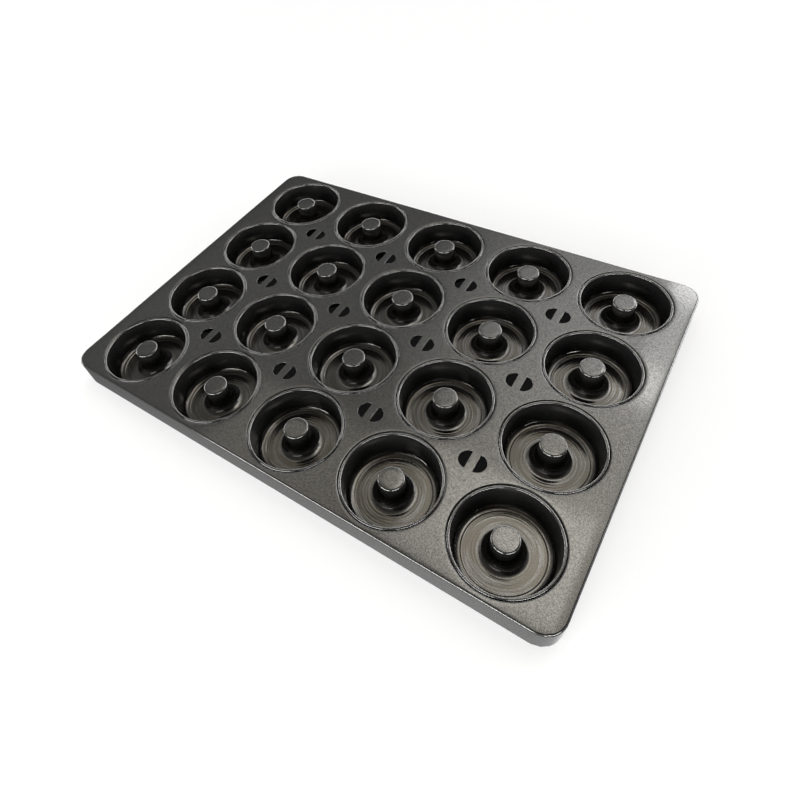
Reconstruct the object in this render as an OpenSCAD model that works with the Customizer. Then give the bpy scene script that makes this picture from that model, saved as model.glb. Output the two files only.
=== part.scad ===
// Doughnut pan: ring cups lock-seamed into a skirted sheet-steel frame.
// Millimetres, +Z up. The origin is the middle of the pan, on the surface that it stands on,
// and the long side runs along X.

/* [Layout] */
// Number of cups along the pan
cup_columns = 5; // [1:1:7]
// Number of rows of cups across the pan
cup_rows = 4; // [1:1:7]
// Flat deck between the rims of two cups, along the pan
web_length = 8.2; // [4:0.2:30]
// Flat deck between the rims of two cups, across the pan
web_width = 1.2; // [0.8:0.2:30]
// Flat deck from the rims of the outer cups to the bend at the ends of the pan
end_margin = 11.0; // [4:0.5:30]
// Flat deck from the rims of the outer cups to the bend along the sides of the pan
side_margin = 1.8; // [1:0.2:30]

/* [Frame] */
// Thickness of the frame's sheet
frame_sheet = 0.8; // [0.5:0.1:1]
// Height of the deck above the surface that the pan stands on
frame_height = 24; // [20:0.5:40]
// Outside radius of the bend from the deck to the skirt
skirt_bend_r = 1.6; // [1.2:0.1:4]
// Outside radius of the pan's four corners, seen from above
corner_r = 16; // [8:0.5:20]
// Outside radius of the roll from the deck down into a cup hole
collar_bend_r = 1.4; // [1.1:0.1:2]
// Depth of the collar round a cup hole, below the deck
collar_depth = 4.2; // [3:0.1:6]

/* [Vents] */
// Radius of each half-moon vent
vent_r = 7.4; // [3:0.1:9]
// Width of the bar of deck between the two halves of a vent
vent_bar = 6.7; // [3:0.1:12]

/* [Cups] */
// Thickness of the cups' sheet
cup_sheet = 0.6; // [0.4:0.05:0.8]
// Inside diameter of a cup at its mouth
mouth_d = 72.6; // [60:0.2:110]
// Depth of a cup's floor below the deck
cup_depth = 22.5; // [18:0.5:23]
// Lean of the cup's wall from upright, in degrees
wall_draft = 7; // [0:0.5:10]
// Inside radius from the wall to the floor
wall_fillet_r = 4; // [2:0.25:6]
// Height of the step that stiffens the floor
step_h = 0.46; // [0.2:0.02:0.8]
// Width of the ring between the floor's step and the start of the wall's radius
step_ring = 0.4; // [0.2:0.1:3]
// Outside radius of the rolled lip
lip_r = 1.05; // [0.9:0.05:1.3]
// Height of the lip's crest above the deck
lip_rise = 0.1; // [0:0.05:0.5]
// Height that the lip's edge is turned up behind the collar
hook_h = 1.6; // [0.8:0.1:2]
// Clearance in the lock seam between the lip and the collar
seam_gap = 0.1; // [0.05:0.05:0.2]

/* [Pin] */
// Diameter of the pin's shank just under its top
pin_d = 20; // [14:0.5:30]
// Outside radius of the pin's top edge
pin_edge_r = 1.5; // [1:0.1:3]
// Lean of the pin's shank from upright, in degrees
pin_draft = 0.5; // [0:0.5:8]
// Radius from the pin's shank to the floor
pin_fillet_r = 8; // [3:0.5:10]
// Height of the pin's flat top above the deck
pin_rise = 0; // [-6:0.5:0]

/* [Hidden] */
$fn = 96;
deck_z = frame_height;
// Seam, from the lip outwards: radii are from the cup's axis
mouth_r = mouth_d / 2;
lip_outer_r = mouth_r + 2 * lip_r;
collar_r = lip_outer_r + seam_gap;
rim_r = collar_r + collar_bend_r;
collar_end_z = deck_z - collar_depth;
// Punches for the holes and the vents, from below the deck's sheet to above it
cut_z = deck_z - 2 * frame_sheet;
cut_h = 3 * frame_sheet;
// Layout
pitch_x = 2 * rim_r + web_length;
pitch_y = 2 * rim_r + web_width;
pan_length = (cup_columns - 1) * pitch_x + 2 * (rim_r + end_margin + skirt_bend_r);
pan_width = (cup_rows - 1) * pitch_y + 2 * (rim_r + side_margin + skirt_bend_r);
// Levels of the cup's inner face
lip_z = deck_z + lip_rise;
floor_z = deck_z - cup_depth;
pin_z = deck_z + pin_rise;
step_angle = 45;
step_r = step_h / (2 * (1 - cos(step_angle)));
step_w = step_r * sin(step_angle);
// Greatest distance between an arc of the cup's inner face and its chords
arc_tolerance = 0.025;

function cup_x(column) = (column - (cup_columns - 1) / 2) * pitch_x;
function cup_y(row) = ((cup_rows - 1) / 2 - row) * pitch_y;
// Rows are lettered from the back to the front, and columns are numbered from left to right.
function cup_name(column, row) = str("cup_", chr(97 + row), column + 1);

// Points of an arc in the half plane of radius and height. The radius is that of the cup's inner face,
// and beyond is how much larger the arc is: both faces of the sheet get the same steps.
function arc(r, z, radius, beyond, from, to) =
    let (steps = ceil(abs(to - from) / (2 * acos(1 - arc_tolerance / radius))))
    [for (i = [0 : steps]) let (a = from + (to - from) * i / steps)
        [r + (radius + beyond) * cos(a), z + (radius + beyond) * sin(a)]];

// One side of the cup's sheet, from the axis to the lip's turned-up edge.
// depth_in is how far this side lies inside the sheet: 0 for the inner face, cup_sheet for the back.
function cup_side(depth_in) =
    let (
        // Pin
        edge_r = pin_d / 2 - pin_edge_r,
        edge_z = pin_z - pin_edge_r,
        pin_turn_z = floor_z + pin_fillet_r,
        shank_r = pin_d / 2 - pin_edge_r * (1 - cos(pin_draft)),
        shank_z = edge_z + pin_edge_r * sin(pin_draft),
        shank_end_z = pin_turn_z - pin_fillet_r * sin(pin_draft),
        pin_turn_r = shank_r + (shank_z - shank_end_z) * tan(pin_draft)
            + pin_fillet_r * cos(pin_draft),
        // Lip
        lip_centre_r = mouth_r + lip_r,
        lip_centre_z = lip_z - lip_r,
        // Wall
        ring_z = floor_z + step_h,
        wall_turn_z = ring_z + wall_fillet_r,
        wall_top_r = lip_centre_r - lip_r * cos(wall_draft),
        wall_top_z = lip_centre_z + lip_r * sin(wall_draft),
        wall_end_z = wall_turn_z - wall_fillet_r * sin(wall_draft),
        wall_turn_r = wall_top_r - (wall_top_z - wall_end_z) * tan(wall_draft)
            - wall_fillet_r * cos(wall_draft),
        // Floor step
        step_out_r = wall_turn_r - step_ring,
        step_in_r = step_out_r - 2 * step_w,
        // Seam hook
        hook_r = (lip_outer_r + collar_r + frame_sheet + seam_gap) / 2,
        hook_inner = hook_r - lip_outer_r,
        hook_z = collar_end_z - seam_gap
    )
    concat(
        [[0, pin_z - depth_in]],
        arc(edge_r, edge_z, pin_edge_r, -depth_in, 90, pin_draft),
        arc(pin_turn_r, pin_turn_z, pin_fillet_r, depth_in, 180 + pin_draft, 270),
        arc(step_in_r, floor_z + step_r, step_r, depth_in, 270, 270 + step_angle),
        arc(step_out_r, ring_z - step_r, step_r, -depth_in, 90 + step_angle, 90),
        arc(wall_turn_r, wall_turn_z, wall_fillet_r, depth_in, 270, 360 - wall_draft),
        arc(lip_centre_r, lip_centre_z, lip_r, -depth_in, 180 - wall_draft, 0),
        arc(hook_r, hook_z, hook_inner, depth_in, 180, 360),
        [[hook_r + hook_inner + depth_in, hook_z + hook_h]]
    );

function reversed(list) = [for (i = [len(list) - 1 : -1 : 0]) list[i]];

// One sheet cup on the Z axis
module ring_cup() {
    color("#33312f")
    rotate_extrude()
    polygon(concat(cup_side(0), reversed(cup_side(cup_sheet))));
}

module cup_at(column, row) {
    translate([cup_x(column), cup_y(row), 0]) ring_cup();
}

// Sheet bent from flat to upright: bend_r is its outside radius, and its flat end is at radius r + bend_r
module bend(r, z, bend_r, sheet) {
    translate([r, z])
    intersection() {
        difference() {
            circle(bend_r);
            circle(bend_r - sheet);
        }
        square(bend_r);
    }
}

// Rolled collar round a cup hole
module collar() {
    rotate_extrude() {
        translate([rim_r, deck_z - collar_bend_r]) mirror([1, 0]) bend(0, 0, collar_bend_r, frame_sheet);
        translate([collar_r, collar_end_z]) square([frame_sheet, collar_depth - collar_bend_r]);
    }
}

// Section through the edge of the pan, from the deck to the foot of the skirt
module skirt_section(reach) {
    bend(reach - skirt_bend_r, deck_z - skirt_bend_r, skirt_bend_r, frame_sheet);
    translate([reach - frame_sheet, 0]) square([frame_sheet, deck_z - skirt_bend_r]);
    translate([0, deck_z - frame_sheet]) square([reach - skirt_bend_r, frame_sheet]);
}

module corner() {
    rotate_extrude(angle = 90) skirt_section(corner_r);
}

// Straight stretch of skirt along X, with its outer face towards -Y
module straight_skirt(length) {
    rotate([90, 0, -90])
    translate([0, 0, -length / 2])
    linear_extrude(length)
    skirt_section(corner_r);
}

module skirt() {
    inner_x = pan_length / 2 - corner_r;
    inner_y = pan_width / 2 - corner_r;
    for (turn = [0, 180]) rotate(turn) {
        translate([0, -inner_y, 0]) straight_skirt(2 * inner_x);
        translate([-inner_x, 0, 0]) rotate(-90) straight_skirt(2 * inner_y);
        translate([inner_x, inner_y, 0]) corner();
        translate([-inner_x, inner_y, 0]) rotate(90) corner();
    }
}

// Two half discs with a bar of deck between them
module vent() {
    for (side = [0, 180]) rotate(side)
        translate([vent_bar / 2, 0, cut_z])
        intersection() {
            cylinder(r = vent_r, h = cut_h);
            translate([0, -vent_r, 0]) cube([vent_r, 2 * vent_r, cut_h]);
        }
}

module frame() {
    color("#4c4a47") {
        difference() {
            union() {
                skirt();
                translate([corner_r - pan_length / 2, corner_r - pan_width / 2, deck_z - frame_sheet])
                    cube([pan_length - 2 * corner_r, pan_width - 2 * corner_r, frame_sheet]);
            }
            for (row = [0 : cup_rows - 1], column = [0 : cup_columns - 1])
                translate([cup_x(column), cup_y(row), cut_z]) cylinder(r = rim_r, h = cut_h);
            if (cup_rows > 1 && cup_columns > 1)
                for (row = [0 : cup_rows - 2], column = [0 : cup_columns - 2])
                    translate([cup_x(column) + pitch_x / 2, cup_y(row) - pitch_y / 2, 0]) vent();
        }
        for (row = [0 : cup_rows - 1], column = [0 : cup_columns - 1])
            translate([cup_x(column), cup_y(row), 0]) collar();
    }
}

frame();
for (row = [0 : cup_rows - 1], column = [0 : cup_columns - 1])
    cup_at(column, row);
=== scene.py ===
# %% [markdown]
# # A doughnut pan
#
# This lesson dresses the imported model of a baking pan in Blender. The real pan is made of two kinds of
# pressed steel sheet: one skirted frame, and twenty ring cups that are rolled into its holes. Both carry a
# dark non-stick coating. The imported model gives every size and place, and this script gives each sheet a
# fine, smooth mesh and the satin finish of the coating.

# %% Load the frame
import math
import bmesh
import bpy
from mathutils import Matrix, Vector


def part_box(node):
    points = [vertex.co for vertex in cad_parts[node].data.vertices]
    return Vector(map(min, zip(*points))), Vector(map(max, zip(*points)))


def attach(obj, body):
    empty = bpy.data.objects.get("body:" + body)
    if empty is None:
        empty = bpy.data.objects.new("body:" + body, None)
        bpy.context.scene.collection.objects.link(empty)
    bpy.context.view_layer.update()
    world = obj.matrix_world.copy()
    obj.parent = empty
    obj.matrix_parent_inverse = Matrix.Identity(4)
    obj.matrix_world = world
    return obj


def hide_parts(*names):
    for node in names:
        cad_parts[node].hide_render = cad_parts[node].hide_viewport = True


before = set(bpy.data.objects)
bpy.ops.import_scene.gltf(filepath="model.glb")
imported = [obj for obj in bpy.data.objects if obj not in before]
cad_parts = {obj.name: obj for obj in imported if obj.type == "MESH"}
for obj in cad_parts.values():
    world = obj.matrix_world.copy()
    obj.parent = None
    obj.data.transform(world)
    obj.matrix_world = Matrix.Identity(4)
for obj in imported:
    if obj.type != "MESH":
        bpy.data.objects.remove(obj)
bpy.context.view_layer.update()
bpy.ops.object.select_all(action="DESELECT")
print("packed nodes:", len(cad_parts))

# %% [markdown]
# ## The layout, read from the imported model
#
# Nothing is placed by eye. The cups' boxes give the middle of each cup and the distance from one to the
# next, and the frame's box gives the outline and the height of the deck, which is the flat top sheet.

# %% Places
mm = 0.001
cup_names = sorted(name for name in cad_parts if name.startswith("cup_"))
cup_middle = {}
for name in cup_names:
    low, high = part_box(name)
    cup_middle[name] = ((low + high) / 2).xy
pitch_x = cup_middle["cup_a2"].x - cup_middle["cup_a1"].x
pitch_y = cup_middle["cup_a1"].y - cup_middle["cup_b1"].y
frame_low, frame_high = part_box("frame")
deck_z = frame_high.z
print("pitch", round(pitch_x / mm, 2), "by", round(pitch_y / mm, 2), "mm, deck at", round(deck_z / mm, 2))

# %% [markdown]
# ## The camera
#
# The photograph was taken from close by with a wide lens, above the pan's front right corner. The camera is
# made first, so that each piece can be looked at from there as it is added. A small shift puts the optical
# axis where it is in the photograph, which was trimmed after it was taken.

# %% Camera
camera_place = Vector((213.5, -265.3, 384.2)) * mm
camera_turn = (39.80, 6.25, 32.96)
image_width = 800
focal_pixels = 556.9
axis_pixel = (373.8, 358.0)
sensor_width = 36
nearest_seen = 10 * mm

bpy.ops.object.camera_add(location=camera_place, rotation=[math.radians(a) for a in camera_turn])
camera = bpy.context.object
camera.data.sensor_width = sensor_width
camera.data.lens = focal_pixels / image_width * sensor_width
camera.data.shift_x = 0.5 - axis_pixel[0] / image_width
camera.data.shift_y = axis_pixel[1] / image_width - 0.5
camera.data.clip_start = nearest_seen
bpy.context.scene.camera = camera
bpy.context.scene.view_settings.view_transform = "Standard"
print("lens", round(camera.data.lens, 1), "mm")

# %% [markdown]
# ## Small helpers
#
# Most pieces start as a line of points in a half plane: the distance from an axis, and the height. Pressed
# sheet is made of straight stretches and arcs that run into each other, so one helper gives an arc's points.
# The others open and close edit mode, and pick what the next operator acts on.


# %% Helpers
# Points closer than this are one point
same_point = 0.001 * mm


def arc(r, z, radius, start, end, steps):
    """Points along an arc about (r, z), from one angle to another, in degrees."""
    angles = [math.radians(start + (end - start) * i / steps) for i in range(steps + 1)]
    return [Vector((r + radius * math.cos(a), 0, z + radius * math.sin(a))) for a in angles]


def only(piece):
    """Makes a piece the only one selected, and the active one."""
    bpy.ops.object.select_all(action="DESELECT")
    piece.select_set(True)
    bpy.context.view_layer.objects.active = piece


def edit(piece):
    """Opens a piece in edit mode, with its edges to be picked."""
    only(piece)
    bpy.ops.object.mode_set(mode="EDIT")
    bpy.ops.mesh.select_mode(type="EDGE")


def stop_editing():
    bpy.ops.object.mode_set(mode="OBJECT")


def pick_edges(piece, test):
    """In edit mode, selects the edges that pass a test, and nothing else."""
    bpy.ops.mesh.select_all(action="DESELECT")
    mesh = bmesh.from_edit_mesh(piece.data)
    for edge in mesh.edges:
        if test(edge):
            edge.select_set(True)
    bmesh.update_edit_mesh(piece.data)


def picked_points(piece):
    """In edit mode, the selected points."""
    return [vertex for vertex in bmesh.from_edit_mesh(piece.data).verts if vertex.select]


def face_upwards(piece):
    """Makes all the faces of an open surface agree, with its highest face turned upwards."""
    edit(piece)
    bpy.ops.mesh.select_all(action="SELECT")
    bpy.ops.mesh.remove_doubles(threshold=same_point)
    bpy.ops.mesh.normals_make_consistent(inside=False)
    faces = bmesh.from_edit_mesh(piece.data).faces
    if max(faces, key=lambda face: face.calc_center_median().z + abs(face.normal.z)).normal.z < 0:
        bpy.ops.mesh.flip_normals()
    stop_editing()


def give_thickness(piece, thickness):
    """Turns a surface into sheet, with the new side behind its faces."""
    only(piece)
    sheet = piece.modifiers.new("sheet", "SOLIDIFY")
    sheet.thickness = thickness
    sheet.offset = -1
    sheet.use_even_offset = True
    bpy.ops.object.modifier_apply(modifier=sheet.name)


# %% [markdown]
# ## A ring cup
#
# A real cup is drawn from a disc of thin steel. Its middle is pushed up into a flat-topped pin, its floor
# keeps the faint rings of the tool, and its edge is rolled into a lip and hooked under the frame. All of it
# is round, so the cup is one profile, spun about its axis. The profile starts at the middle of the pin.

# %% Sizes of a cup
cup_sheet = 0.6 * mm
mouth_r = 36.3 * mm
lip_r = 1.05 * mm
lip_rise = 0.1 * mm
wall_lean = 7
wall_turn = 4 * mm
floor_depth = 22.5 * mm
step_height = 0.46 * mm
step_angle = 45
step_ring = 0.4 * mm
pin_r = 10 * mm
pin_edge = 1.5 * mm
pin_lean = 0.5
pin_turn = 8 * mm

# The seam: the lip goes down inside the frame's collar, and its edge is hooked up behind it with this room
seam_gap = 0.1 * mm
frame_sheet = 0.8 * mm
collar_depth = 4.2 * mm
collar_r = mouth_r + 2 * lip_r + seam_gap
hook_r = collar_r + frame_sheet / 2
hook_turn = frame_sheet / 2 + seam_gap
hook_drop = collar_depth + seam_gap
hook_height = 1.6 * mm

# The floor's tool rings: how far apart they are, how high the first one is, and how soon they fade outwards
ring_spacing = 2.15 * mm
ring_height = 0.07 * mm
ring_fade = 5 * mm
print("cup:", round(2 * mouth_r / mm, 1), "mm across,", round(floor_depth / mm, 1), "mm deep")

# %% The profile of a cup
# How many short lines stand for each arc, and for the floor
pin_edge_steps = 6
pin_turn_steps = 10
floor_steps = 24
step_arc_steps = 2
wall_turn_steps = 7
lip_steps = 10
hook_steps = 5


def floor_points(start_r, end_r, z):
    """Points across the floor, over the rings that the drawing tool left in it."""
    points = []
    for i in range(1, floor_steps):
        out = (end_r - start_r) * i / floor_steps
        wave = (1 - math.cos(math.tau * out / ring_spacing)) / 2
        points.append(Vector((start_r + out, 0, z + ring_height * wave * math.exp(-out / ring_fade))))
    return points


def cup_profile():
    """The inner face of a cup, from the top of the pin to the end of the hook."""
    floor_z = deck_z - floor_depth
    lean, tilt = math.radians(wall_lean), math.radians(pin_lean)
    # Pin
    edge_z = deck_z - pin_edge
    shank_top = pin_r - pin_edge * (1 - math.cos(tilt))
    shank_drop = edge_z - floor_z - pin_turn + (pin_edge + pin_turn) * math.sin(tilt)
    turn_r = shank_top + shank_drop * math.tan(tilt) + pin_turn * math.cos(tilt)
    # Lip and wall
    lip_middle_r = mouth_r + lip_r
    lip_middle_z = deck_z + lip_rise - lip_r
    ring_z = floor_z + step_height
    wall_drop = lip_middle_z - ring_z - wall_turn + (lip_r + wall_turn) * math.sin(lean)
    wall_turn_r = lip_middle_r - (lip_r + wall_turn) * math.cos(lean) - wall_drop * math.tan(lean)
    # Step in the floor
    step_r = step_height / (2 * (1 - math.cos(math.radians(step_angle))))
    step_outer = wall_turn_r - step_ring
    step_inner = step_outer - 2 * step_r * math.sin(math.radians(step_angle))

    points = [Vector((0, 0, deck_z)), Vector((pin_r / 2, 0, deck_z))]
    points += arc(pin_r - pin_edge, edge_z, pin_edge, 90, pin_lean, pin_edge_steps)
    points += arc(turn_r, floor_z + pin_turn, pin_turn, 180 + pin_lean, 270, pin_turn_steps)
    points += floor_points(turn_r, step_inner, floor_z)
    points += arc(step_inner, floor_z + step_r, step_r, 270, 270 + step_angle, step_arc_steps)
    points += arc(step_outer, ring_z - step_r, step_r, 90 + step_angle, 90, step_arc_steps)
    points += arc(wall_turn_r, ring_z + wall_turn, wall_turn, 270, 360 - wall_lean, wall_turn_steps)
    points += arc(lip_middle_r, lip_middle_z, lip_r, 180 - wall_lean, 0, lip_steps)
    points += arc(hook_r, deck_z - hook_drop, hook_turn, 180, 360, hook_steps)
    points.append(points[-1] + Vector((0, 0, hook_height)))
    return points


print("profile:", len(cup_profile()), "points")

# %% Spin a cup
spin_steps = 96
cup_smooth_angle = 40


def spun_cup():
    """Draws the profile by extruding one point, and spins it round the Z axis."""
    points = cup_profile()
    bpy.ops.mesh.primitive_plane_add(size=mm, location=(0, 0, 0))
    cup = bpy.context.object
    edit(cup)
    bpy.ops.mesh.select_mode(type="VERT")
    bpy.ops.mesh.select_all(action="SELECT")
    bpy.ops.mesh.merge(type="CENTER")
    bpy.ops.transform.translate(value=points[0])
    for here, there in zip(points, points[1:]):
        if (there - here).length > same_point:
            bpy.ops.mesh.extrude_region_move(TRANSFORM_OT_translate={"value": there - here})
    bpy.ops.mesh.select_all(action="SELECT")
    bpy.ops.mesh.spin(steps=spin_steps, angle=math.tau, center=(0, 0, 0), axis=(0, 0, 1))
    stop_editing()
    face_upwards(cup)
    give_thickness(cup, cup_sheet)
    bpy.ops.object.shade_smooth_by_angle(angle=math.radians(cup_smooth_angle))
    return cup


model_cup = spun_cup()
print("one cup:", len(model_cup.data.polygons), "faces")

# %% [markdown]
# ## Twenty cups
#
# The cup is modelled once, on the axis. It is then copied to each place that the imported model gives. Each
# copy has its own mesh, and its place is applied, so that its object sits at the origin.

# %% Place the cups
cups = []
for name in cup_names:
    only(model_cup)
    bpy.ops.object.duplicate()
    cup = bpy.context.object
    cup.name = "ring_" + name
    cup.location = (cup_middle[name].x, cup_middle[name].y, 0)
    bpy.ops.object.transform_apply(location=True, rotation=True, scale=True)
    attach(cup, "root")
    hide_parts(name)
    cups.append(cup)
bpy.data.objects.remove(model_cup)
print("cups placed:", len(cups))

# %% [markdown]
# ## The frame's deck
#
# The frame is one sheet with twenty holes, each rolled down into a collar that the cup's lip hooks round.
# The deck could be a plate with holes cut by a Boolean, but then no row of faces would follow a hole's edge,
# and the edge's soft dip couldn't be shaped. So each hole starts as a circle instead, and its loop of edges
# is extruded outwards until it fills the cup's share of the deck. Neighbouring shares meet point to point.

# %% Sizes of the frame
skirt_bend = 1.6 * mm
corner_r = 16 * mm
collar_bend = 1.4 * mm
rim_r = collar_r + collar_bend
rim_steps = 120
bend_steps = 6

# The deck dips a little towards each hole, where the sheet was drawn down into the seam
dip_depth = 0.05 * mm
dip_width = 2.4 * mm

# The ends of the deck sink a little before they reach the bend
sink_depth = 0.27 * mm
sink_width = 9 * mm

# Shares of the way from a hole's edge to the border of its part of the deck
loop_shares = (0.035, 0.08, 0.14, 0.22, 0.4, 0.6, 0.8, 1)

# The outline runs at one distance round a rectangle, whose corners are called posts here
post = frame_high.xy - Vector((corner_r, corner_r))
flat_reach = corner_r - skirt_bend
print("hole:", round(2 * rim_r / mm, 1), "mm across; posts at", [round(side / mm, 1) for side in post], "mm")

# %% Shape of the deck
# Stands in for nought where a length is divided by a side of a direction
almost_nought = 1e-9


def nearest_post(place):
    """The nearest point of the rectangle between the four posts."""
    return Vector((max(-post.x, min(post.x, place.x)), max(-post.y, min(post.y, place.y))))


def laid_on_outline(place, reach):
    """The point straight out from the posts, past a place, at a distance from their rectangle."""
    start = nearest_post(place)
    return start + (place - start).normalized() * reach


def dip(place):
    """How far the deck lies below its crown at a place, from its sunken ends and from all the holes."""
    along = (abs(place.x) - frame_high.x + skirt_bend) / sink_width + 1
    total = sink_depth * max(0, along) ** 2
    for middle in cup_middle.values():
        share = ((place - middle).length - rim_r) / dip_width
        total += dip_depth * (1 - min(1, max(0, share))) ** 2
    return total


def border_place(middle, out):
    """Where the border of a cup's part of the deck lies, in a direction from the cup's middle."""
    limit = Vector((pitch_x / 2, pitch_y / 2))
    if out.x * middle.x > 0 and abs(middle.x) + pitch_x > post.x:
        limit.x = frame_high.x - skirt_bend - abs(middle.x)
    if out.y * middle.y > 0 and abs(middle.y) + pitch_y > post.y:
        limit.y = frame_high.y - skirt_bend - abs(middle.y)
    # The point nearest to a corner of the border goes into the corner itself
    past_corner = math.atan2(abs(out.y), abs(out.x)) - math.atan2(limit.y, limit.x)
    if abs(past_corner) <= math.pi / rim_steps:
        way = Vector((math.copysign(limit.x, out.x), math.copysign(limit.y, out.y)))
    else:
        way = out * min(limit.x / max(abs(out.x), almost_nought), limit.y / max(abs(out.y), almost_nought))
    place = middle + way
    if (place - nearest_post(place)).length > flat_reach:
        place = laid_on_outline(place, flat_reach)
    return place


deck_end = Vector((frame_high.x - skirt_bend, 0))
print("the deck's ends sink by", round(dip(deck_end) / mm, 2), "mm")

# %% Open the loops out from each hole
def deck_part(middle):
    """One cup's share of the deck: a hole, and loops that open out from it to the border."""
    bpy.ops.mesh.primitive_circle_add(vertices=rim_steps, radius=rim_r, location=(middle.x, middle.y, deck_z))
    bpy.ops.object.transform_apply(location=True, rotation=True, scale=True)
    part = bpy.context.object
    edit(part)
    bpy.ops.mesh.select_all(action="SELECT")
    for share in loop_shares:
        bpy.ops.mesh.extrude_edges_move()
        for vertex in picked_points(part):
            out = (vertex.co.xy - middle).normalized()
            vertex.co.xy = (middle + out * rim_r).lerp(border_place(middle, out), share)
    stop_editing()
    return part


parts = [deck_part(middle) for middle in cup_middle.values()]
bpy.ops.object.select_all(action="DESELECT")
for part in parts:
    part.select_set(True)
bpy.ops.object.join()
pan_frame = bpy.context.object
pan_frame.name = "pan_frame"
face_upwards(pan_frame)
for vertex in pan_frame.data.vertices:
    vertex.co.z = deck_z - dip(vertex.co.xy)
print("deck:", len(pan_frame.data.polygons), "faces")

# %% [markdown]
# ## Collars and skirt
#
# A press brings both down from the deck in the same way: the sheet turns through a quarter circle and then
# runs straight down. So both are an extruded loop of edges, laid in small steps along the bend. The two
# kinds of loop are told apart by their distance from the nearest cup. The surface then gets the sheet's
# thickness, below the deck and inside the skirt.


# %% Bend the sheet down
def nearest_middle(place):
    return min(cup_middle.values(), key=lambda middle: (place - middle).length)


def is_hole_edge(edge):
    middle = nearest_middle(edge.verts[0].co.xy)
    return edge.is_boundary and (edge.verts[0].co.xy - middle).length < rim_r + same_point


def is_outline_edge(edge):
    return edge.is_boundary and not is_hole_edge(edge)


def bend_down(piece, radius, lay):
    """Extrudes the picked loops along a quarter circle. lay places a point at a distance past the flat."""
    turned = 0
    for step in range(1, bend_steps + 1):
        angle = math.radians(90 * step / bend_steps)
        bpy.ops.mesh.extrude_edges_move()
        for vertex in picked_points(piece):
            vertex.co.xy = lay(vertex.co.xy, radius * math.sin(angle))
            vertex.co.z -= radius * (math.cos(turned) - math.cos(angle))
        turned = angle


def run_down_to(piece, z):
    """Extrudes the picked loops straight down to a height."""
    bpy.ops.mesh.extrude_edges_move()
    for vertex in picked_points(piece):
        vertex.co.z = z


def lay_in_hole(place, past):
    middle = nearest_middle(place)
    return middle + (place - middle).normalized() * (rim_r - past)


def lay_on_skirt(place, past):
    return laid_on_outline(place, flat_reach + past)


edit(pan_frame)
pick_edges(pan_frame, is_hole_edge)
bend_down(pan_frame, collar_bend, lay_in_hole)
run_down_to(pan_frame, deck_z - collar_depth)
pick_edges(pan_frame, is_outline_edge)
bend_down(pan_frame, skirt_bend, lay_on_skirt)
run_down_to(pan_frame, frame_low.z)
stop_editing()
face_upwards(pan_frame)
give_thickness(pan_frame, frame_sheet)
print("frame:", len(pan_frame.data.polygons), "faces")

# %% [markdown]
# ## Vents
#
# Between every four cups, two half-moon vents let hot air up through the deck, with a bar between them. They
# are punched after the sheet is shaped, so a Boolean is the true tool here. The punch flares out where it
# meets the top of the sheet, which leaves the soft edge that a coated cut has.

# %% Punch the vents
vent_r = 7.4 * mm
vent_bar = 6.7 * mm
vent_edge = 0.25 * mm
vent_steps = 64
frame_smooth_angle = 32

# The punch starts over the deck, and flares in these turns from just above it
punch_over = 0.5 * mm
flare_lift = 0.02 * mm
flare_angles = (30, 60, 90)


def half_moon_punch():
    """A half disc that narrows as it goes into the deck's surface, and then goes down through the sheet."""
    start = (0, 0, deck_z + punch_over)
    bpy.ops.mesh.primitive_circle_add(
        vertices=vent_steps, radius=vent_r + vent_edge, fill_type="NGON", location=start)
    bpy.ops.object.transform_apply(location=True, rotation=True, scale=True)
    punch = bpy.context.object
    edit(punch)
    bpy.ops.mesh.select_all(action="SELECT")
    bpy.ops.mesh.bisect(plane_co=(-vent_edge, 0, 0), plane_no=(1, 0, 0), clear_inner=True)
    bpy.ops.mesh.select_mode(type="FACE")
    bpy.ops.mesh.select_all(action="SELECT")
    bpy.ops.mesh.normals_make_consistent(inside=False)
    if bmesh.from_edit_mesh(punch.data).faces[0].normal.z > 0:
        bpy.ops.mesh.flip_normals()
    bpy.ops.mesh.extrude_region_move(TRANSFORM_OT_translate={"value": (0, 0, flare_lift - punch_over)})
    flare = [(0, -flare_lift)]
    for angle in flare_angles:
        turn = math.radians(angle)
        flare.append((vent_edge * math.sin(turn), vent_edge * (1 - math.cos(turn))))
    for (inward, down), (next_inward, next_down) in zip(flare, flare[1:]):
        bpy.ops.mesh.inset(thickness=next_inward - inward, depth=next_down - down)
    bpy.ops.mesh.extrude_region_move(TRANSFORM_OT_translate={"value": (0, 0, -2 * frame_sheet)})
    bpy.ops.mesh.select_all(action="SELECT")
    bpy.ops.mesh.normals_make_consistent(inside=False)
    bpy.ops.transform.translate(value=(vent_bar / 2, 0, 0))
    stop_editing()
    return punch


vent_places = []
for middle in cup_middle.values():
    place = middle + Vector((pitch_x, -pitch_y)) / 2
    if abs(place.x) < post.x and abs(place.y) < post.y:
        vent_places.append(place)

model_punch = half_moon_punch()
punches = []
for place in vent_places:
    for turn in (0, math.pi):
        only(model_punch)
        bpy.ops.object.duplicate()
        punch = bpy.context.object
        punch.rotation_euler.z = turn
        punch.location = (place.x, place.y, 0)
        punches.append(punch)
bpy.data.objects.remove(model_punch)
bpy.ops.object.select_all(action="DESELECT")
for punch in punches:
    punch.select_set(True)
bpy.ops.object.join()
all_punches = bpy.context.object

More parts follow.
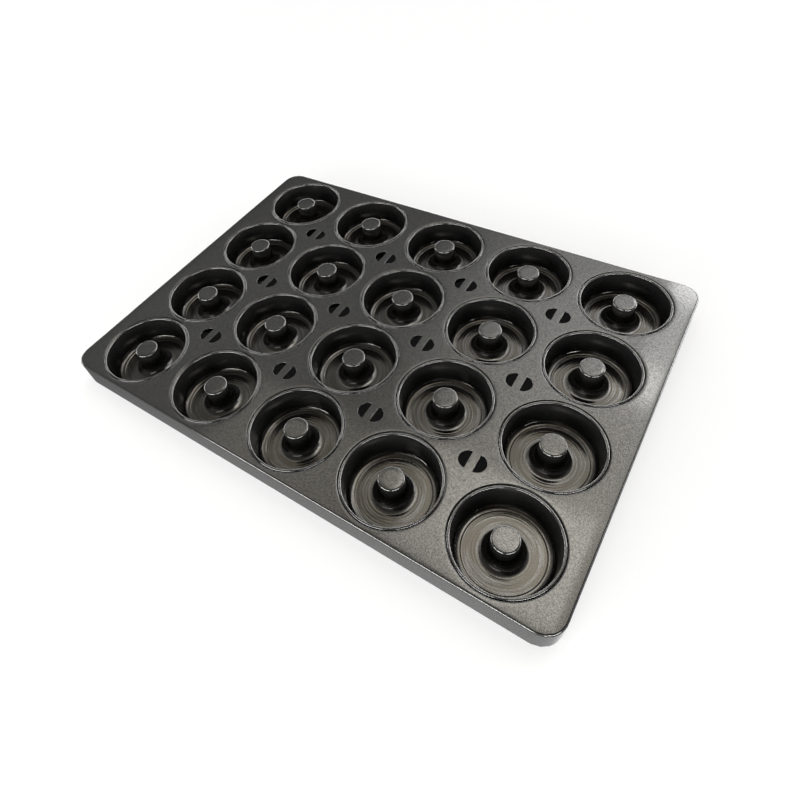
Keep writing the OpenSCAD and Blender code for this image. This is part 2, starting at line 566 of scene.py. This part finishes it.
only(pan_frame)
cut = pan_frame.modifiers.new("vents", "BOOLEAN")
cut.operation = "DIFFERENCE"
cut.solver = "EXACT"
cut.object = all_punches
bpy.ops.object.modifier_apply(modifier=cut.name)
bpy.data.objects.remove(all_punches)
bpy.ops.object.shade_smooth_by_angle(angle=math.radians(frame_smooth_angle))
even = pan_frame.modifiers.new("flat stays flat", "WEIGHTED_NORMAL")
even.keep_sharp = True
bpy.ops.object.modifier_apply(modifier=even.name)
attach(pan_frame, "root")
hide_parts("frame")
print("vents:", len(vent_places), "pairs; frame:", len(pan_frame.data.polygons), "faces")

# %% [markdown]
# ## The coating
#
# Non-stick coating is a thin dark film with fine bright flakes, baked on smooth steel. It mirrors softly, so
# most of what is seen on it is the room, and little light gets out of a deep cup. Both materials use the
# same grain, so the grain is a node group that is built once. It reads Object coordinates, which on a mesh
# at the origin are the pan's own metres, so that the grain has one size everywhere.
#
# The helpers come first. One adds any node, and sets or links its sockets. Three more use it for the kinds of
# node that come up most: a sum or product, a change of range and a mix of two colours. The last two begin and
# end a node group.

# %% Helpers for node trees
# A Mix node has sockets for each kind of value. These are the places of the ones for colours.
mix_first, mix_second, mix_result = 6, 7, 2


def add_node(tree, kind, place, inputs=None, **settings):
    """Adds a node. Each of its inputs gets a value, or is linked to another node's output."""
    node = tree.nodes.new(kind)
    node.location = place
    for name, value in settings.items():
        setattr(node, name, value)
    for socket, value in (inputs or {}).items():
        if isinstance(value, bpy.types.NodeSocket):
            tree.links.new(value, node.inputs[socket])
        else:
            node.inputs[socket].default_value = value
    return node


def add_math(tree, operation, a, b, place):
    """A sum, product or the like of two numbers or outputs."""
    return add_node(tree, "ShaderNodeMath", place, {0: a, 1: b}, operation=operation).outputs[0]


def add_range(tree, value, limits, results, place, interpolation="LINEAR"):
    """Takes an output from one range to another, and holds it at the ends."""
    inputs = dict(zip(("Value", "From Min", "From Max", "To Min", "To Max"), (value, *limits, *results)))
    return add_node(tree, "ShaderNodeMapRange", place, inputs, interpolation_type=interpolation).outputs[0]


def add_mix(tree, share, first, second, place):
    """Mixes two colours. Each is a colour or an output."""
    inputs = {"Factor": share, mix_first: first, mix_second: second}
    return add_node(tree, "ShaderNodeMix", place, inputs, data_type="RGBA").outputs[mix_result]


def new_group(name, inputs, outputs):
    """A node group with named number inputs, given with their usual values, and named outputs."""
    tree = bpy.data.node_groups.new(name, "ShaderNodeTree")
    for label, value in inputs.items():
        socket = tree.interface.new_socket(name=label, in_out="INPUT", socket_type="NodeSocketFloat")
        socket.default_value = value
    for label in outputs:
        tree.interface.new_socket(name=label, in_out="OUTPUT", socket_type="NodeSocketFloat")
    return tree, add_node(tree, "NodeGroupInput", (-900, 0))


def end_group(tree, results):
    """Puts a group's results out under their names."""
    add_node(tree, "NodeGroupOutput", (900, 0), results)
    return tree


# %% Grain of the coating
flakes_per_metre = 1350
flake_detail = 3
flake_roughness = 0.7
blotches_per_metre = 22
blotch_detail = 4


def build_grain():
    """Fine flakes and a slow blotchiness, both about 0.5 on average."""
    tree, entry = new_group("coating grain", {"Flakes Per Metre": flakes_per_metre}, ("Flakes", "Blotches"))
    place = add_node(tree, "ShaderNodeTexCoord", (-900, -200)).outputs["Object"]
    flakes = add_node(tree, "ShaderNodeTexNoise", (-500, 100), {
        "Vector": place, "Scale": entry.outputs["Flakes Per Metre"],
        "Detail": flake_detail, "Roughness": flake_roughness})
    blotches = add_node(tree, "ShaderNodeTexNoise", (-500, -200), {
        "Vector": place, "Scale": blotches_per_metre, "Detail": blotch_detail})
    return end_group(tree, {"Flakes": flakes.outputs["Fac"], "Blotches": blotches.outputs["Fac"]})


grain = build_grain()
print("group:", grain.name)

# %% [markdown]
# ## Rings in the cups' floors
#
# Each cup's floor shows fine rings about its own pin, from the tool and from wear. A ring depends only on the
# distance from the cup's axis. All cups stand on one grid, so the pan's coordinates are folded back onto one
# cell of the grid, and the distance is measured there. Noise read along that distance gives uneven rings,
# and a little of the true place in it keeps any two cups from looking alike.

# %% Rings about each pin
rings_per_metre = 500
ring_drift = 30
ring_detail = 3
ring_roughness = 0.6


def folded_place(tree, place, pitch, start, spot):
    """Where a point lies in its own cell of the cups' grid, from the cell's middle."""
    wrapped = add_node(tree, "ShaderNodeMath", spot, {0: place, 1: start + pitch, 2: start}, operation="WRAP")
    return add_math(tree, "SUBTRACT", wrapped.outputs[0], start + pitch / 2, (spot[0] + 180, spot[1]))


def build_rings():
    """Uneven rings about every cup's axis, and the distance from that axis in metres."""
    tree, entry = new_group("turned rings", {"Rings Per Metre": rings_per_metre}, ("Rings", "Distance"))
    place = add_node(tree, "ShaderNodeTexCoord", (-900, -200)).outputs["Object"]
    split = add_node(tree, "ShaderNodeSeparateXYZ", (-720, -200), {0: place})
    x, y = split.outputs["X"], split.outputs["Y"]
    corner = cup_middle["cup_a1"] - Vector((pitch_x, pitch_y)) / 2
    across = add_node(tree, "ShaderNodeCombineXYZ", (-160, -200), {
        "X": folded_place(tree, x, pitch_x, corner.x, (-520, -100)),
        "Y": folded_place(tree, y, pitch_y, corner.y, (-520, -300))})
    length = add_node(tree, "ShaderNodeVectorMath", (20, -200), {0: across.outputs[0]}, operation="LENGTH")
    distance = length.outputs["Value"]
    gather = add_node(tree, "ShaderNodeCombineXYZ", (420, 0), {
        "X": add_math(tree, "MULTIPLY", distance, entry.outputs["Rings Per Metre"], (220, 0)),
        "Y": add_math(tree, "MULTIPLY", x, ring_drift, (220, -200)),
        "Z": add_math(tree, "MULTIPLY", y, ring_drift, (220, -400))})
    rings = add_node(tree, "ShaderNodeTexNoise", (600, 0), {
        "Vector": gather.outputs[0], "Scale": 1, "Detail": ring_detail, "Roughness": ring_roughness})
    return end_group(tree, {"Rings": rings.outputs["Fac"], "Distance": distance})


rings = build_rings()
print("group:", rings.name)

# %% [markdown]
# ## Two finishes
#
# The frame and the cups have the same coating. The cups' floors are stained a little darker and browner along
# some of their rings. The rings also tilt the surface by a hair, which is what breaks their reflections into
# arcs.

# %% The coating that both share
coating_dark = (0.066, 0.066, 0.064, 1)
coating_light = (0.138, 0.137, 0.134, 1)
coating_metallic = 0.93
edge_tint = (0.7, 0.7, 0.7, 1)
coating_roughness = (0.10, 0.14)
grain_bump = 0.3
grain_height = 0.02 * mm

# Noise keeps close to 0.5, so only this much of its range is used
flake_range = (0.40, 0.60)
blotch_range = (0.35, 0.65)


def new_coating(name):
    """A material with the grain and roughness of the coating, and its colour and bump, still to be linked."""
    material = bpy.data.materials.new(name)
    material.use_nodes = True
    tree = material.node_tree
    shader = tree.nodes["Principled BSDF"]
    shader.inputs["Metallic"].default_value = coating_metallic
    shader.inputs["Specular Tint"].default_value = edge_tint
    group = add_node(tree, "ShaderNodeGroup", (-900, 0), node_tree=grain)
    share = add_range(tree, group.outputs["Flakes"], flake_range, (0, 1), (-700, 200))
    colour = add_mix(tree, share, coating_dark, coating_light, (-500, 200))
    roughness = add_range(tree, group.outputs["Blotches"], blotch_range, coating_roughness, (-700, -100))
    tree.links.new(roughness, shader.inputs["Roughness"])
    bump = add_node(tree, "ShaderNodeBump", (-500, -300), {
        "Strength": grain_bump, "Distance": grain_height, "Height": group.outputs["Flakes"]})
    return material, colour, bump


def finish_coating(material, colour, bump):
    """Links a coating's colour and bump to its shader."""
    shader = material.node_tree.nodes["Principled BSDF"]
    material.node_tree.links.new(colour, shader.inputs["Base Color"])
    material.node_tree.links.new(bump.outputs[0], shader.inputs["Normal"])
    return material


# %% The stained floors of the cups
floor_worn = (0.055, 0.049, 0.039, 1)
worn_share = 0.7
ring_bump = 0.6
ring_bump_height = 0.2 * mm

# Where the floor begins past the pin's root and where it ends in the wall's turn, as distances from the axis
floor_start = (16.5 * mm, 18.5 * mm)
floor_end = (33.0 * mm, 34.5 * mm)
mark_range = (0.46, 0.60)


def cup_coating():
    """The coating of the cups, with the rings and stains of their floors."""
    material, colour, bump = new_coating("cup coating")
    tree = material.node_tree
    turned = add_node(tree, "ShaderNodeGroup", (-1300, -600), node_tree=rings)
    distance = turned.outputs["Distance"]
    past_pin = add_range(tree, distance, floor_start, (0, 1), (-1100, -500))
    before_wall = add_range(tree, distance, floor_end, (1, 0), (-1100, -800))
    on_floor = add_math(tree, "MULTIPLY", past_pin, before_wall, (-900, -600))
    marks = add_range(tree, turned.outputs["Rings"], mark_range, (worn_share, 0), (-900, -800))
    worn = add_math(tree, "MULTIPLY", on_floor, marks, (-700, -600))
    stained = add_mix(tree, worn, colour, floor_worn, (-300, 200))
    height = add_math(tree, "MULTIPLY", turned.outputs["Rings"], on_floor, (-500, -600))
    ring_tilt = add_node(tree, "ShaderNodeBump", (-300, -300), {
        "Strength": ring_bump, "Distance": ring_bump_height, "Height": height, "Normal": bump.outputs[0]})
    return finish_coating(material, stained, ring_tilt)


# %% Coat the pan
def paint(piece, material):
    """Gives a piece one material."""
    piece.data.materials.clear()
    piece.data.materials.append(material)


paint(pan_frame, finish_coating(*new_coating("frame coating")))
cup_finish = cup_coating()
for cup in cups:
    paint(cup, cup_finish)
print("materials:", len(bpy.data.materials))

# %% [markdown]
# ## The floor
#
# The pan lies on a plain white floor. Away from the pan the floor glows where it is seen, which keeps it
# white. Near the pan it glows less, which keeps the shadow. Beneath the pan its colour is a painted shadow,
# dark as the unlit space behind the vents is in the photograph. Where the front skirt mirrors the floor, the
# floor's glow is a painted reflection, grey on the left and white on the right. Past the pan's right end the
# mirrored floor is painted dark, a painted reflection that draws the thin dark outline of that end.

# %% Floor
floor_size = 8
floor_white = (0.9, 0.9, 0.9, 1)
# Painted shadow: the floor's colour beneath the pan
painted_shadow_colour = (0.05, 0.05, 0.05, 1)
floor_roughness = 0.9

# How much of the floor's look is glow, beside the pan and away from it, and how soon that changes
near_glow = 0.5
far_glow = 0.9
clear_of_pan = 120 * mm

# How far inside the outline the floor's colour is a painted shadow, fully dark, and how much light is left of
# it there
hidden_margin = 20 * mm
hidden_share = 0.012

# Where along X the mirrored floor brightens, from which level to which, and where it goes dark past the end:
# a painted reflection in the front skirt, and a painted dark outline of the right end
mirror_span = (-250 * mm, 160 * mm)
mirror_levels = (0.3, 1)
end_span = (frame_high.x + 4 * mm, frame_high.x + 12 * mm)


def past_outline(tree, margin, width, results):
    """A number that changes over a width outside the pan's outline less a margin."""
    half_size = (frame_high.x - margin, frame_high.y - margin, 1)
    nowhere = (0, 0, 0)
    outside = add_node(tree, "ShaderNodeTexCoord", (-1700, 300)).outputs["Object"]
    for operation, operand, x in (
            ("ABSOLUTE", nowhere, -1500), ("SUBTRACT", half_size, -1300), ("MAXIMUM", nowhere, -1100)):
        inputs = {0: outside, 1: operand}
        outside = add_node(tree, "ShaderNodeVectorMath", (x, 300), inputs, operation=operation).outputs[0]
    length = add_node(tree, "ShaderNodeVectorMath", (-900, 300), {0: outside}, operation="LENGTH")
    return add_range(tree, length.outputs["Value"], (0, width), results, (-700, 300))


def white_floor():
    """White paint that glows where the camera or a mirroring surface sees it, with a painted shadow beneath
    the pan and a painted reflection for mirrors.
    """
    material = bpy.data.materials.new("white floor")
    material.use_nodes = True
    tree = material.node_tree
    shader = tree.nodes["Principled BSDF"]
    shader.inputs["Roughness"].default_value = floor_roughness
    shader.inputs["Specular IOR Level"].default_value = 0
    away = past_outline(tree, 0, clear_of_pan, (near_glow, far_glow))
    # Painted shadow: inside the outline, less a margin, the floor's colour is dark and it hardly glows
    outside_painted_shadow = past_outline(tree, hidden_margin, hidden_margin, (hidden_share, 1))
    tree.links.new(add_mix(tree, outside_painted_shadow, painted_shadow_colour, floor_white, (-300, 0)), shader.inputs["Base Color"])
    # What a mirroring surface sees: a painted reflection, brighter to the right and dark past the pan's right
    # end
    place = add_node(tree, "ShaderNodeTexCoord", (-1100, 700)).outputs["Object"]
    x = add_node(tree, "ShaderNodeSeparateXYZ", (-900, 700), {0: place}).outputs["X"]
    to_right = add_range(tree, x, mirror_span, mirror_levels, (-700, 800))
    before_end = add_range(tree, x, end_span, (1, 0), (-700, 600))
    level = add_math(tree, "MULTIPLY", to_right, before_end, (-500, 700))
    # What each kind of ray gets
    ray = add_node(tree, "ShaderNodeLightPath", (-700, 1200))
    camera_ray, mirror_ray = ray.outputs["Is Camera Ray"], ray.outputs["Is Glossy Ray"]
    # Painted reflection: glossy rays see the floor glow at this painted level
    painted_reflection_strength = add_math(tree, "MULTIPLY", mirror_ray, level, (-300, 700))
    strength = add_math(tree, "ADD", camera_ray, painted_reflection_strength, (-100, 700))
    seen = add_math(tree, "MULTIPLY", camera_ray, away, (-500, 400))
    seen = add_math(tree, "MAXIMUM", seen, mirror_ray, (-300, 400))
    share = add_math(tree, "MULTIPLY", seen, outside_painted_shadow, (-100, 400))
    glow = add_node(tree, "ShaderNodeEmission", (100, 600), {"Strength": strength})
    inputs = {0: share, 1: shader.outputs[0], 2: glow.outputs[0]}
    blend = add_node(tree, "ShaderNodeMixShader", (300, 400), inputs)
    tree.links.new(blend.outputs[0], tree.nodes["Material Output"].inputs["Surface"])
    return material


bpy.ops.mesh.primitive_plane_add(size=floor_size, location=(0, 0, frame_low.z))
floor = bpy.context.object
floor.name = "floor"
paint(floor, white_floor())
print("floor:", floor_size, "m")

# %% [markdown]
# ## The room
#
# A dark mirror-like coating needs something to mirror, so the world is a grey room. A world shader gets the
# direction that is looked in: X is to the right, Y to the back and Z up, each from -1 to 1. The room is
# brightest above the back, dim in front and to the right, and warm overhead. Low down it is bright all
# round, most of all behind the pan, which gives the far edges their shine.

# %% World
room_level = 0.52
front_share = 0.35
right_share = 0.15
middle_share = 0.25
glow_level = 1.7
glow_towards = Vector((0.2, 0.6, 0.77))
horizon_levels = (2.2, 12.0)
plain_white = (1, 1, 1, 1)
ceiling_colour = (1, 0.96, 0.86, 1)

# Over which part of a direction each change runs
front_span = (0.3, -0.2)
right_span = (0.1, 0.3)
middle_span = (0.35, 0.62)
glow_span = (0.80, 0.99)
horizon_span = (0.12, 0.34)
behind_span = (0.30, 0.75)
ceiling_span = (0.65, 0.92)


def grey_room():
    """The world that lights the pan and shows in its coating."""
    world = bpy.data.worlds.new("studio")
    world.use_nodes = True
    tree = world.node_tree
    background = tree.nodes["Background"]
    direction = add_node(tree, "ShaderNodeTexCoord", (-1100, 0)).outputs["Generated"]
    split = add_node(tree, "ShaderNodeSeparateXYZ", (-900, 0), {0: direction})
    x, y, z = split.outputs
    towards = add_node(tree, "ShaderNodeVectorMath", (-900, 300), {
        0: direction, 1: glow_towards.normalized()}, operation="DOT_PRODUCT").outputs["Value"]
    glow = add_range(tree, towards, glow_span, (0, glow_level), (-600, 300), "SMOOTHSTEP")
    front = add_range(tree, y, front_span, (room_level, room_level * front_share), (-600, 0))
    upper = add_range(tree, z, middle_span, (middle_share, 1), (-600, -300))
    right = add_range(tree, x, right_span, (1, right_share), (-600, -600))
    room = add_math(tree, "ADD", front, glow, (-400, 100))
    room = add_math(tree, "MULTIPLY", room, upper, (-300, -100))
    room = add_math(tree, "MULTIPLY", room, right, (-200, -300))
    low_down = add_range(tree, z, horizon_span, (1, 0), (-600, -900), "SMOOTHSTEP")
    behind = add_range(tree, y, behind_span, horizon_levels, (-600, -1200))
    horizon = add_math(tree, "MULTIPLY", low_down, behind, (-400, -1000))
    tree.links.new(add_math(tree, "ADD", room, horizon, (-50, -500)), background.inputs["Strength"])
    overhead = add_range(tree, z, ceiling_span, (0, 1), (-600, 600))
    colour = add_mix(tree, overhead, plain_white, ceiling_colour, (-300, 600))
    tree.links.new(colour, background.inputs["Color"])
    return world


bpy.context.scene.world = grey_room()
print("world:", bpy.context.scene.world.name)

# %% [markdown]
# ## Lamps
#
# Each lamp is a soft box, and what counts is where it shows in the coating. Six level boxes above the pan set
# how bright each part of the deck looks, from grey on the left to pale on the right. Two of them hang a
# little lower, because lamps in one plane hide each other. A panel in front lights the walls that face the
# camera. Four low windows can't be seen in the deck or the walls, but every rounded edge bends their light
# into a thin line.

# %% Lamps
white_light = (1, 1, 1)
cream_light = (1, 0.96, 0.90)
warm_light = (1, 0.94, 0.83)
box_height = 1.0
lower_height = 0.97


def soft_box(name, middle, size, radiance, colour=white_light, aim=(0, 0, 0)):
    """A rectangular lamp that faces a point. Its power follows from its size and how bright it looks."""
    bpy.ops.object.light_add(type="AREA", location=middle)
    lamp = bpy.context.object
    lamp.name = name
    lamp.data.shape = "RECTANGLE"
    lamp.data.size, lamp.data.size_y = size
    lamp.data.energy = radiance * math.pi * size[0] * size[1]
    lamp.data.color = colour
    lamp.rotation_euler = (Vector(aim) - Vector(middle)).to_track_quat("-Z", "Y").to_euler()
    lamp.visible_camera = False


def level_box(name, low, high, height, radiance, colour=white_light):
    """A soft box that lies level above the pan, between two corners given in its plane."""
    middle = ((low[0] + high[0]) / 2, (low[1] + high[1]) / 2, height)
    size = (high[0] - low[0], high[1] - low[1])
    soft_box(name, middle, size, radiance, colour, aim=(middle[0], middle[1], 0))


level_box("front box", (-0.20, 0.117), (0.30, 0.415), box_height, 1.65, cream_light)
level_box("side box", (-0.30, 0.17), (-0.20, 0.36), box_height, 0.9, warm_light)
level_box("far box", (-0.80, 0.02), (-0.30, 0.36), box_height, 0.45, warm_light)
level_box("back box", (0.181, 0.800), (0.36, 1.400), box_height, 1.2)
level_box("corner box", (0.181, 1.220), (0.40, 1.600), lower_height, 4.5)
level_box("bar box", (0.181, 0.780), (0.36, 0.920), lower_height, 2.0)
soft_box("front panel", (0.0, -1.1, 0.90), (0.9, 0.3), 1.2)
soft_box("front window", (-0.25, -1.5, 0.40), (1.5, 0.40), 14.0)
soft_box("right window", (1.35, -0.9, 0.40), (1.3, 0.40), 12.0)
soft_box("back window", (1.15, 1.4, 0.42), (0.8, 0.4), 8.0)
soft_box("left window", (-1.7, -0.2, 0.40), (1.2, 0.40), 10.0)
print("lamps:", len(bpy.data.lights))
